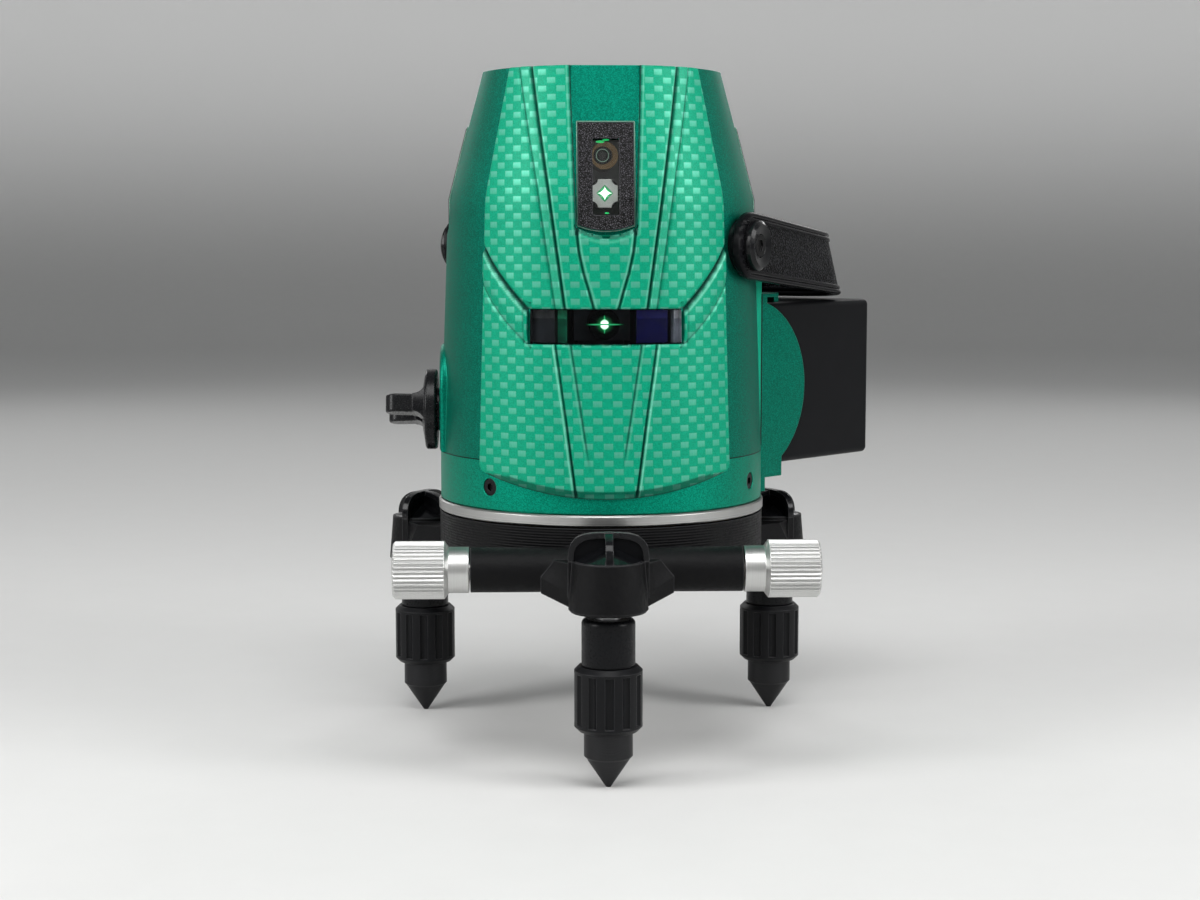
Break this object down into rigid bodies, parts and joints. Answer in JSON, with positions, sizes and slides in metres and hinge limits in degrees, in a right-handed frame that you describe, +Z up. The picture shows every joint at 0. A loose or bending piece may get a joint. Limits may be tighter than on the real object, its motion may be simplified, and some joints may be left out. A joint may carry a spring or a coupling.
{
  "type": "line laser level",
  "caption": "Self-levelling cross-line laser level: tapered green head with window slots, turning on a screw-footed base with fine-turn knobs, a swing bail and a slide-off battery.",
  "frame": {"origin": "mouth of the tripod thread, at the centre of the base's underside", "axes": "+Z up along the head's turning axis; the front, with the horizontal window, faces -Y; +X is to the viewer's right as seen from the front"},
  "size_m": [0.1755, 0.1854, 0.2269],
  "materials": {
    "green_shell": "satin metallic green",
    "carbon_green": "green carbon weave under clear lacquer",
    "black_casting": "die casting, satin black paint",
    "bright_aluminium": "turned, bright",
    "inner_aluminium": "milled, matt",
    "steel": "bright zinc",
    "black_steel": "black oxide",
    "brass": "turned brass",
    "friction_washer": "fibre washer",
    "black_plastic": "satin black, fine grain",
    "grained_black": "leather-grain soft moulding",
    "gloss_black": "gloss black",
    "dark_glass": "tinted",
    "clear_glass": "clear",
    "vial_fluid": "yellow-green vial",
    "circuit_board": "solder-masked board",
    "foot_collar": "grooved grip",
    "foot_tip": "dark anodised",
    "cell_wrap": "shrink-wrapped cell",
    "key_rubber": "silicone key"
  },
  "bodies": {
    "base": {"base_casting": "black_casting", "leg_caps": "black_casting", "tripod_insert": "brass", "spindle": "steel", "spindle_nut": "steel", "foot_studs": "steel", "foot_sleeves": "black_casting", "worm_bushes": "brass"},
    "wheel": {"worm_wheel": "brass", "clutch_washer": "friction_washer"},
    "fine_drive": {"worm_shaft": "steel", "fine_knob_left": "bright_aluminium", "fine_knob_right": "bright_aluminium"},
    "head": {"turntable": "bright_aluminium", "turntable_bush": "brass", "clutch_spring": "steel", "lower_housing": "green_shell", "lower_housing_screws": "black_steel", "upper_housing": "green_shell", "front_panel": "carbon_green", "window_bezels": "grained_black", "vertical_windows": "clear_glass", "horizontal_window": "dark_glass", "top_panel": "black_plastic", "top_screws": "black_steel", "vial_cup": "black_plastic", "vial_glass": "vial_fluid", "keypad_board": "circuit_board", "chassis": "inner_aluminium", "main_board": "circuit_board", "handle_bosses": "black_plastic", "handle_screws": "black_steel", "battery_bracket": "green_shell", "bracket_screws": "black_steel", "battery_contacts": "brass"},
    "gimbal": {"gimbal_ring": "inner_aluminium"},
    "pendulum": {"pendulum": "inner_aluminium", "pendulum_weight": "brass", "vertical_lasers": "inner_aluminium", "point_laser": "brass", "horizontal_laser": "brass", "plumb_laser": "brass"},
    "lock": {"lock_shaft": "steel", "lock_knob": "gloss_black"},
    "lifter": {"lock_lifter": "inner_aluminium"},
    "handle": {"handle_strap": "grained_black", "handle_caps": "black_plastic"},
    "battery": {"battery_case": "black_plastic", "battery_lid": "black_plastic", "battery_cells": "cell_wrap"},
    "foot_collar_front": {"foot_collar_front": "foot_collar"},
    "foot_tip_front": {"foot_tip_front": "foot_tip"},
    "foot_collar_right": {"foot_collar_right": "foot_collar"},
    "foot_tip_right": {"foot_tip_right": "foot_tip"},
    "foot_collar_left": {"foot_collar_left": "foot_collar"},
    "foot_tip_left": {"foot_tip_left": "foot_tip"},
    "power_button": {"power_button": "key_rubber"},
    "vertical_button": {"vertical_button": "key_rubber"},
    "horizontal_button": {"horizontal_button": "key_rubber"},
    "pulse_button": {"pulse_button": "key_rubber"}
  },
  "joints": [
    {"name": "wheel_turn", "type": "hinge", "parent": "base", "child": "wheel", "pos_m": [0, 0, 0], "axis": [0, 0, 1], "continuous": true},
    {"name": "fine_turn", "type": "hinge", "parent": "base", "child": "fine_drive", "pos_m": [0, -0.0567, 0.0085], "axis": [1, 0, 0], "continuous": true},
    {"name": "head_turn", "type": "hinge", "parent": "wheel", "child": "head", "pos_m": [0, 0, 0], "axis": [0, 0, 1], "continuous": true},
    {"name": "gimbal_roll", "type": "hinge", "parent": "head", "child": "gimbal", "pos_m": [0, 0, 0.11], "axis": [0, 1, 0], "range_deg": [-4, 4]},
    {"name": "pendulum_pitch", "type": "hinge", "parent": "gimbal", "child": "pendulum", "pos_m": [0, 0, 0.11], "axis": [1, 0, 0], "range_deg": [-4, 4]},
    {"name": "lock_turn", "type": "hinge", "parent": "head", "child": "lock", "pos_m": [-0.05, 0, 0.0552], "axis": [1, 0, 0], "range_deg": [0, 90]},
    {"name": "lock_lift", "type": "slide", "parent": "head", "child": "lifter", "axis": [0, 0, 1], "range_m": [0, 0.0025]},
    {"name": "handle_swing", "type": "hinge", "parent": "head", "child": "handle", "pos_m": [0, 0, 0.111], "axis": [0.866, -0.5, 0], "range_deg": [0, 180]},
    {"name": "battery_slide", "type": "slide", "parent": "head", "child": "battery", "axis": [0.7071, 0.7071, 0], "range_m": [0, 0.06]},
    {"name": "foot_turn_front", "type": "hinge", "parent": "base", "child": "foot_collar_front", "pos_m": [0, -0.0727, 0], "axis": [0, 0, 1], "range_deg": [0, 2880]},
    {"name": "foot_run_front", "type": "slide", "parent": "base", "child": "foot_tip_front", "axis": [0, 0, -1], "range_m": [0, 0.01]},
    {"name": "foot_turn_right", "type": "hinge", "parent": "base", "child": "foot_collar_right", "pos_m": [0.06296, 0.03635, 0], "axis": [0, 0, 1], "range_deg": [0, 2880]},
    {"name": "foot_run_right", "type": "slide", "parent": "base", "child": "foot_tip_right", "axis": [0, 0, -1], "range_m": [0, 0.01]},
    {"name": "foot_turn_left", "type": "hinge", "parent": "base", "child": "foot_collar_left", "pos_m": [-0.06296, 0.03635, 0], "axis": [0, 0, 1], "range_deg": [0, 2880]},
    {"name": "foot_run_left", "type": "slide", "parent": "base", "child": "foot_tip_left", "axis": [0, 0, -1], "range_m": [0, 0.01]},
    {"name": "power_press", "type": "slide", "parent": "head", "child": "power_button", "axis": [0, 0, -1], "range_m": [0, 0.001], "stiffness_N_per_m": 500, "springref_m": -0.0005},
    {"name": "vertical_press", "type": "slide", "parent": "head", "child": "vertical_button", "axis": [0, 0, -1], "range_m": [0, 0.001], "stiffness_N_per_m": 500, "springref_m": -0.0005},
    {"name": "horizontal_press", "type": "slide", "parent": "head", "child": "horizontal_button", "axis": [0, 0, -1], "range_m": [0, 0.001], "stiffness_N_per_m": 500, "springref_m": -0.0005},
    {"name": "pulse_press", "type": "slide", "parent": "head", "child": "pulse_button", "axis": [0, 0, -1], "range_m": [0, 0.001], "stiffness_N_per_m": 500, "springref_m": -0.0005}
  ],
  "couplings": [
    {"joint": "fine_turn", "follows": "wheel_turn", "ratio": -105},
    {"joint": "lock_lift", "follows": "lock_turn", "m_per_rad": 0.0015914},
    {"joint": "foot_run_front", "follows": "foot_turn_front", "m_per_rad": 0.00019892},
    {"joint": "foot_run_right", "follows": "foot_turn_right", "m_per_rad": 0.00019892},
    {"joint": "foot_run_left", "follows": "foot_turn_left", "m_per_rad": 0.00019892}
  ]
}
